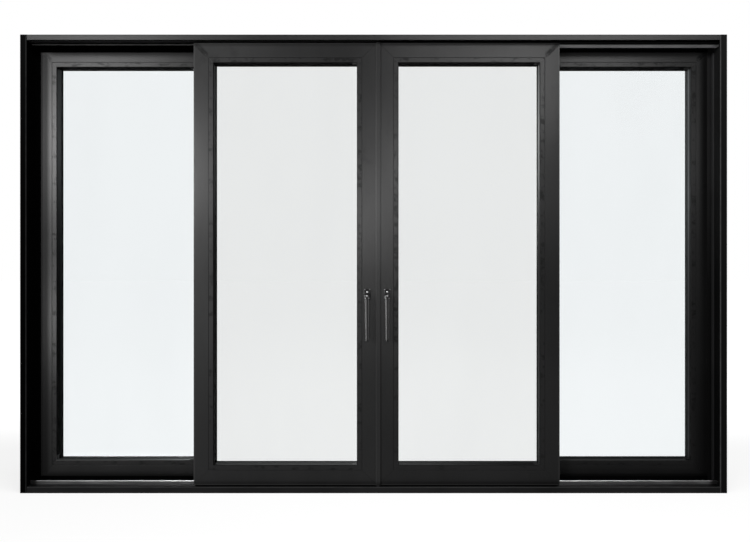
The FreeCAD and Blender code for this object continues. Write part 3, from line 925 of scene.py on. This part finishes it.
@dataclass
class OuterFrame:
    """Jambs, head and sill with the track rail and the guides."""

    coats: tuple[tuple[str, Finish], ...] = (
        ("head", HEAD_COAT),
        ("sill", SILL_COAT),
        ("left_jamb", SHADED_LEFT_JAMB_COAT),
        ("right_jamb", LIT_RIGHT_JAMB_COAT),
        ("jamb_strip", LIT_STRIP_COAT),
        ("head_guide_channel", LIT_GUIDE_COAT),
        ("head_guide_strip", LIT_GUIDE_STRIP_COAT),
        ("sill_rail", RAIL_METAL),
    )

    def build(self) -> None:
        """Dress the frame's nodes."""
        for node, finish in self.coats:
            dress(node, finish)


@dataclass
class Panel:
    """A glazed panel with stiles, rails, beads and panes."""

    side: Side
    kind: str
    inner_stile: str
    glass: PaneGlass
    painted_shades: tuple[PaintedShade, ...] = ()

    @property
    def name(self) -> str:
        """Name that its nodes start with."""
        return self.side.value + "_" + self.kind

    def members(self) -> list[str]:
        """Names of the stiles and rails."""
        parts = ("outer_stile", self.inner_stile, "top_rail", "bottom_rail")
        return [self.name + "_" + part for part in parts]

    def dress_members(self) -> None:
        """Coat the frame of the panel and set the glass in it."""
        coat = coat_of_panel(self.name, self.side, self.members(), self.painted_shades)
        for node in [*self.members(), self.name + "_beads"]:
            dress(node, coat)
        dress(self.name + "_glass", self.glass)


@dataclass
class FixedPanel(Panel):
    """Outer panel that doesn't move."""

    kind: str = "fixed"
    inner_stile: str = "interlock_stile"
    glass: PaneGlass = FIXED_GLASS
    # Painted shade: the bottom rails dark in the sill's pocket, the top rails in the head's pocket, the right
    # panel darker lower down, and the left panel's outer stile in the left jamb's shadow.
    sill_pocket_shade: PaintedShade = PaintedShade("Z", 0.078, 0.043, 0.97)
    head_pocket_shades: tuple[PaintedShade, PaintedShade] = (PaintedShade("Z", 2.322, 2.352, 0.75), PaintedShade("Z", 2.322, 2.350, 0.85))
    lower_painted_shade: PaintedShade = PaintedShade("Z", 0.9, 0.2, 0.32)
    jamb_shadow_shades: tuple[PaintedShade, PaintedShade] = (PaintedShade("X", -1.761, -1.7865, 0.8), PaintedShade("X", -1.795, -1.807, 1.0))

    def build(self) -> None:
        """Dress the panel."""
        left = self.side is Side.LEFT
        left_painted_shades = (self.sill_pocket_shade, self.head_pocket_shades[0], *self.jamb_shadow_shades)
        self.painted_shades = left_painted_shades if left else (self.sill_pocket_shade, self.head_pocket_shades[1], self.lower_painted_shade)
        self.dress_members()


@dataclass
class SlidingLeaf(Panel):
    """Leaf that rolls in the front track."""

    kind: str = "leaf"
    inner_stile: str = "meeting_stile"
    glass: PaneGlass = LEAF_GLASS
    # Painted shade: each leaf darker lower down, the right one more.
    lower_painted_shades: tuple[PaintedShade, PaintedShade] = (PaintedShade("Z", 1.0, 0.25, 0.15), PaintedShade("Z", 1.0, 0.25, 0.33))
    strip_edge: float = 0.0018
    strip_line: float = 0.0026
    strip_shine: float = 0.22

    def build(self) -> None:
        """Dress the leaf."""
        self.painted_shades = (self.lower_painted_shades[0 if self.side is Side.LEFT else 1],)
        self.dress_members()
        dress(self.name + "_gaskets", RUBBER)
        dress(self.name + "_spacers", SPACER)
        dress(self.name + "_rollers", STEEL)
        if self.side is Side.LEFT:
            dress("left_leaf_guide_blocks", GUIDE_PLASTIC)
            # Painted highlight along the cover strip's left edge.
            low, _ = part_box("astragal")
            edge = EdgeHighlight("X", low.x + self.strip_edge, self.strip_line, self.strip_shine)
            dress("astragal", replace(ASTRAGAL_COAT, edges=(edge,)))


@dataclass
class LeverHandle:
    """Back plate, lever and screws of one leaf, with painted highlights on the plate's and the lever's edges
    and painted shade along the lever's right edge.

    An inset is measured from the plate's or the lever's edge, and a drop down from its top or from the pivot.
    """

    side: Side
    screw_radius: float = 0.0052
    screw_steps: int = 24
    rose_screw_rise: float = 0.0022
    hub_screw_rise: float = 0.0002
    rose_screw_height: float = 0.0205
    hub_screw_height: float = 0.003
    sink: float = 0.0006
    line: float = 0.0022
    corner_drop: float = 0.002
    corner_clear: float = 0.009
    corner_shine: float = 0.6
    grip_drop: float = 0.013
    near_inset: float = 0.0083
    near_line: float = 0.0024
    near_shine: float = 0.42
    far_inset: float = 0.0048
    far_shine: float = 0.15
    shoulder_drop: float = 0.0095
    shoulder_clear: float = 0.0055
    shoulder_shine: float = 0.75
    dark_insets: tuple[float, float] = (0.0032, 0.0022)
    dark_share: float = 0.85

    def build(self) -> None:
        """Dress the plate and the lever, and set the screws."""
        name = self.side.value
        rose_low, rose_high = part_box(name + "_handle_rose")
        lever_low, lever_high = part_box(name + "_lever")
        middle = (rose_low.x + rose_high.x) / 2
        pivot_height = frame_joint(name + "_handle_turn")["pos_m"][2]
        # Painted highlights at the plate's top corners, along the lever's edges and at its shoulders.
        corner_gap = (middle, self.corner_clear)
        corners = EdgeHighlight("Z", rose_high.z - self.corner_drop, self.line, self.corner_shine, gap=corner_gap)
        grip_top = pivot_height - self.grip_drop
        shoulder_gap = (middle, self.shoulder_clear)
        wear_and_highlight = (
            EdgeHighlight("X", lever_low.x + self.near_inset, self.near_line, self.near_shine, below=grip_top),
            EdgeHighlight("Z", pivot_height - self.shoulder_drop, self.line, self.shoulder_shine, gap=shoulder_gap),
            EdgeHighlight("X", lever_high.x - self.far_inset, self.line, self.far_shine, below=grip_top),
        )
        # Painted shade along the lever's right edge.
        start, whole = self.dark_insets
        painted_shade_side = PaintedShade("X", lever_high.x - start, lever_high.x - whole, self.dark_share)
        rose_coat = replace(HANDLE_COAT, name=name + "_rose_satin_black", edges=(corners,))
        lever_coat = replace(HANDLE_COAT, name=name + "_lever_satin_black", edges=wear_and_highlight, painted_shades=(painted_shade_side,))
        dress(name + "_handle_rose", rose_coat)
        dress(name + "_lever", lever_coat)
        top = Vector((middle, rose_low.y, pivot_height + self.rose_screw_height))
        hub = Vector((middle, lever_low.y, pivot_height + self.hub_screw_height))
        self.screw(name + "_rose_screw", top, self.rose_screw_rise, name + "_leaf", SCREW_STEEL)
        self.screw(name + "_hub_screw", hub, self.hub_screw_rise, name + "_handle", SHADED_SCREW_STEEL)

    def screw(self, name: str, seat: Vector, rise: float, body: str, finish: Finish) -> None:
        """One domed screw, standing on a face that looks at the room.

        Args:
            name: Name of the piece.
            seat: Middle of its seat.
            rise: How far it stands off its seat.
            body: Body that it moves with.
            finish: Its metal.
        """
        mesh = bmesh.new()
        dome = ((0.0, 1.0), (0.45, 0.95), (0.8, 0.68), (1.0, 0.2))
        profile = [(self.screw_radius * across, -rise * share) for across, share in dome]
        profile += [(self.screw_radius, self.sink), (0.0, self.sink)]
        verts = [mesh.verts.new((seat.x + radius, seat.y + depth, seat.z)) for radius, depth in profile]
        edges = [mesh.edges.new(pair) for pair in zip(verts, verts[1:])]
        bmesh.ops.spin(
            mesh,
            geom=verts + edges,
            cent=seat,
            axis=(0.0, 1.0, 0.0),
            angle=math.tau,
            steps=self.screw_steps,
            use_merge=True,
        )
        bmesh.ops.remove_doubles(mesh, verts=mesh.verts[:], dist=1e-6)
        piece_from(name, mesh, body, finish)


def frame_joint(name: str) -> dict:
    """The record's entry of one joint."""
    joints = frame["record"]["behaviour"]["joints"]
    return next(joint for joint in joints if joint["name"] == name)


# Studio

# The room's far wall behind the camera. A place (x, z) on it shows in the door at
# (x / 2.5, (z + 1.82) / 2.49).
WALL_Y = -4.7
WALL_LAMP_SIZE = (1.1, 0.85)
MIRROR_ACROSS = 2.5
MIRROR_UP = 2.49
MIRROR_LIFT = 1.82
SPARED_JAMB = ("left_jamb",)


@dataclass
class Lamp:
    """One soft area lamp that looks at a point."""

    name: str
    place: tuple[float, float, float]
    aim: tuple[float, float, float]
    size: tuple[float, float]
    radiance: float
    subject: Subject = Subject.FLOOR
    spares: tuple[str, ...] = ()

    def build(self) -> Any:
        """Make the lamp.

        Returns:
            The lamp's object.
        """
        data = bpy.data.lights.new(self.name, "AREA")
        data.shape = "RECTANGLE"
        data.size, data.size_y = self.size
        data.energy = self.radiance * math.pi * self.size[0] * self.size[1]
        made = bpy.data.objects.new(self.name, data)
        bpy.context.scene.collection.objects.link(made)
        made.location = self.place
        made.rotation_euler = (Vector(self.aim) - Vector(self.place)).to_track_quat("-Z", "Y").to_euler()
        made.visible_camera = False
        return made


def wall_lamp(
    name: str, across: float, height: float, radiance: float, subject: Subject, spares: tuple[str, ...] = (),
) -> Lamp:
    """A lamp on the room's far wall, behind the camera.

    Args:
        name: Name of the lamp.
        across: Its place along X.
        height: Its height.
        radiance: Light that it gives.
        subject: What it shines on.
        spares: Nodes that don't stand in its way.

    Returns:
        The lamp, aimed at the part of the door that mirrors it.
    """
    aim = (across / MIRROR_ACROSS, 0.0, min((height + MIRROR_LIFT) / MIRROR_UP, CAD_BOX[1][2]))
    return Lamp(name, (across, WALL_Y, height), aim, WALL_LAMP_SIZE, radiance, subject, spares)


@dataclass
class Studio:
    """Pale floor, white surroundings, lamps and the camera of the photograph."""

    eye: tuple[float, float, float] = (0.0545, -3.153, 1.221)
    focal_px: float = 583.0
    axis_px: tuple[float, float] = (384.0, 259.85)
    sensor: float = 36.0
    floor_size: float = 60.0
    gloss_level: float = 0.04
    ambient_level: float = 0.15
    floor_grey: float = 0.5
    shadow_grey: float = 0.3
    shadow_reach: tuple[float, float] = (0.5, 1.6)
    near_glow: float = 0.80
    lamps: list[Lamp] = field(default_factory=lambda: [
        wall_lamp("leaves_low_left", -0.4, 1.7, 6.4, Subject.LEAVES),
        wall_lamp("leaves_far_left", -4.6, 2.5, 89, Subject.LEAVES),
        wall_lamp("leaves_left", -3.4, 2.5, 22.8, Subject.LEAVES),
        wall_lamp("leaves_upper_right", 1.7, 3.3, 6.9, Subject.LEAVES),
        wall_lamp("leaves_middle", 0.6, 2.5, 5.6, Subject.LEAVES),
        wall_lamp("leaves_top_right", 2.1, 4.2, 4, Subject.LEAVES),
        wall_lamp("leaves_top", -1.9, 4.2, 1.5, Subject.LEAVES),
        wall_lamp("leaves_top_middle", 0.75, 4.2, 2.65, Subject.LEAVES),
        wall_lamp("leaves_right", 2.2, 1.9, 0.9, Subject.LEAVES),
        Lamp("leaves_low", (-1.2, WALL_Y, 0.4), (-0.4, 0.0, 0.8), (4.0, 0.6), 0.9, Subject.LEAVES),
        Lamp("handles_left", (-4.5, -0.55, 1.6), (0.0, -0.1, 1.1), (0.7, 2.6), 25.0, Subject.HANDLES),
        Lamp("handles_right", (4.5, -0.55, 1.6), (0.0, -0.1, 1.1), (0.7, 2.6), 6.0, Subject.HANDLES),
        Lamp("leaves_rear", (-0.7, 5.0, 3.0), (0.6, 0.0, 1.6), (3.0, 1.0), 8.5, Subject.LEAVES),
        Lamp("frame_rear", (0.0, 5.0, 3.0), (0.0, 0.0, 1.2), (3.4, 2.6), 12.0, Subject.FRAME),
        Lamp("frame_side_left", (-6.0, 0.01, 1.5), (-1.85, 0.01, 1.2), (0.18, 3.0), 55.0, Subject.FRAME),
        Lamp("frame_side_right", (6.0, 0.01, 1.5), (1.85, 0.01, 1.2), (0.18, 3.0), 55.0, Subject.FRAME),
        Lamp("frame_overhead", (0.3, 1.2, 6.0), (0.0, 0.0, 2.4), (5.0, 1.4), 8.0, Subject.FRAME),
        wall_lamp("fixed_left", -3.4, 2.5, 64.4, Subject.FIXED, SPARED_JAMB),
        wall_lamp("fixed_top_left", -3.7, 4.0, 9.1, Subject.FIXED, SPARED_JAMB),
        wall_lamp("fixed_far_left", -4.6, 3.3, 10.8, Subject.FIXED, SPARED_JAMB),
        wall_lamp("fixed_right", 2.9, 2.5, 16, Subject.FIXED),
        wall_lamp("fixed_top_right", 2.9, 4.2, 10.2, Subject.FIXED),
        wall_lamp("fixed_low_left", -2.4, 0.8, 11.7, Subject.FIXED),
        Lamp(
            "fixed_far_low", (-4.2, WALL_Y, 0.45), (-1.7, 0.0, 0.9), (1.1, 0.8), 14.0,
            Subject.FIXED, SPARED_JAMB,
        ),
        Lamp("fixed_rear", (-1.2, 5.0, 3.0), (0.6, 0.0, 1.6), (2.8, 1.0), 11.5, Subject.FIXED),
        wall_lamp("frame_far_left", -4.4, 4.2, 18, Subject.FRAME),
        wall_lamp("frame_top_left", -3.4, 4.2, 16.5, Subject.FRAME),
        wall_lamp("frame_upper_left", -2.4, 4.2, 7.5, Subject.FRAME),
        wall_lamp("frame_centre_left", -0.9, 4.2, 5.4, Subject.FRAME),
        wall_lamp("frame_middle", 0.6, 4.2, 11.4, Subject.FRAME),
        wall_lamp("frame_upper_right", 1.7, 4.2, 14.2, Subject.FRAME),
        wall_lamp("frame_right", 2.9, 4.2, 14.2, Subject.FRAME),
        wall_lamp("frame_top_right", 4.4, 5.2, 34, Subject.FRAME),
        wall_lamp("track_left", -2.4, 3.0, 62, Subject.TRACK),
        wall_lamp("track_right", 2.4, 3.0, 38, Subject.TRACK),
        Lamp("track_rear", (-1.0, 5.0, 2.4), (0.2, 0.0, 0.6), (6.0, 3.4), 1.6, Subject.TRACK),
        Lamp("floor_overhead", (0.6, -1.6, 5.0), (0.0, 0.0, 0.0), (4.0, 3.0), 5.0),
    ])

    def build(self) -> None:
        """Make the camera, the world and the floor; light() makes the lamps."""
        self.camera()
        self.world()
        self.floor()
        bpy.context.scene.view_settings.view_transform = "Standard"

    def camera(self) -> None:
        """Camera that looks straight at the door from the photograph's place."""
        data = bpy.data.cameras.new("front_camera")
        data.sensor_width = self.sensor
        data.lens = self.focal_px / IMAGE_WIDTH_PX * self.sensor
        data.shift_x = (IMAGE_WIDTH_PX / 2 - self.axis_px[0]) / IMAGE_WIDTH_PX
        data.shift_y = (self.axis_px[1] - IMAGE_HEIGHT_PX / 2) / IMAGE_WIDTH_PX
        made = bpy.data.objects.new("front_camera", data)
        bpy.context.scene.collection.objects.link(made)
        made.location = self.eye
        made.rotation_euler = (math.pi / 2, 0.0, 0.0)
        bpy.context.scene.camera = made

    def world(self) -> None:
        """White for the eye, straight on or through glass, and dim for gloss and for plain light."""
        world = bpy.data.worlds.new("studio")
        bpy.context.scene.world = world
        graph = Graph(world)
        seen = self.seen_straight(graph)
        glossy = graph.node("ShaderNodeLightPath", out="Is Glossy Ray")
        dim = glossy * self.gloss_level + (1.0 - glossy) * self.ambient_level
        sockets = {"Color": WHITE, "Strength": seen + (1.0 - seen) * dim}
        graph.output(graph.node("ShaderNodeBackground", {}, sockets), "ShaderNodeOutputWorld")

    def seen_straight(self, graph: Graph) -> Ink:
        """Whether the eye looks at something straight, or through glass and nothing else.

        Args:
            graph: Graph that asks.

        Returns:
            1 for such rays and 0 for all others.
        """
        glossy, diffuse, passing, camera = (
            graph.node("ShaderNodeLightPath", out=name)
            for name in ("Glossy Depth", "Diffuse Depth", "Is Transmission Ray", "Is Camera Ray")
        )
        return camera.at_least(passing * (glossy + diffuse).step(0.6, 0.4))

    def floor(self) -> None:
        """White floor that keeps a soft shadow near the door."""
        mesh = bmesh.new()
        bmesh.ops.create_grid(mesh, x_segments=4, y_segments=4, size=self.floor_size / 2)
        made = linked("floor", mesh)
        material = bpy.data.materials.new("floor_white")
        graph = Graph(material)
        away = abs(graph.axis(graph.place(), "Y")).step(*self.shadow_reach)
        glow_level = self.near_glow + away * (1.0 - self.near_glow)
        camera = graph.node("ShaderNodeLightPath", out="Is Camera Ray")
        matt, soft = (
            graph.node("ShaderNodeBsdfDiffuse", {}, {"Color": (grey, grey, grey, 1.0)})
            for grey in (self.floor_grey, self.shadow_grey)
        )
        white, glow = (
            graph.node("ShaderNodeEmission", {}, {"Color": WHITE, "Strength": level})
            for level in (1.0, glow_level)
        )
        lit = graph.node("ShaderNodeAddShader", {}, {0: soft, 1: glow})
        bright = graph.node("ShaderNodeMixShader", {}, {0: camera, 1: white, 2: lit})
        seen = self.seen_straight(graph)
        graph.output(graph.node("ShaderNodeMixShader", {}, {0: seen, 1: matt, 2: bright}))
        made.data.materials.append(material)

    def light(self) -> None:
        """Set up the lamps, each linked to what it shines on."""
        receivers = {subject: self.receivers(subject) for subject in Subject}
        for lamp in self.lamps:
            linking = lamp.build().light_linking
            linking.receiver_collection = receivers[lamp.subject]
            if lamp.spares:
                linking.blocker_collection = self.spared(lamp)

    def spared(self, lamp: Lamp) -> Any:
        """Collection of the nodes that cast no shadow for one lamp.

        Args:
            lamp: The lamp.

        Returns:
            The collection.
        """
        group = bpy.data.collections.new(lamp.name + "_spares")
        for node in lamp.spares:
            group.objects.link(frame["nodes"][node])
        for entry in group.collection_objects:
            entry.light_linking.link_state = "EXCLUDE"
        return group

    def receivers(self, subject: Subject) -> Any:
        """Collection that links lamps to one subject.

        Args:
            subject: The subject.

        Returns:
            The collection.
        """
        group = bpy.data.collections.new("lit_" + subject.value)
        for piece in bpy.context.scene.objects:
            if piece.type == "MESH" and subject in Subject.of(piece.name):
                group.objects.link(piece)
        return group


def main() -> None:
    """Build the door's looks in order."""
    logging.basicConfig(level=logging.INFO, format="%(name)s %(message)s")
    studio = Studio()
    studio.build()
    OuterFrame().build()
    for side in Side:
        FixedPanel(side).build()
        SlidingLeaf(side).build()
        LeverHandle(side).build()
    dress("fixed_gaskets", RUBBER)
    dress("fixed_spacers", SPACER)
    studio.light()


if __name__ == "__main__":
    main()
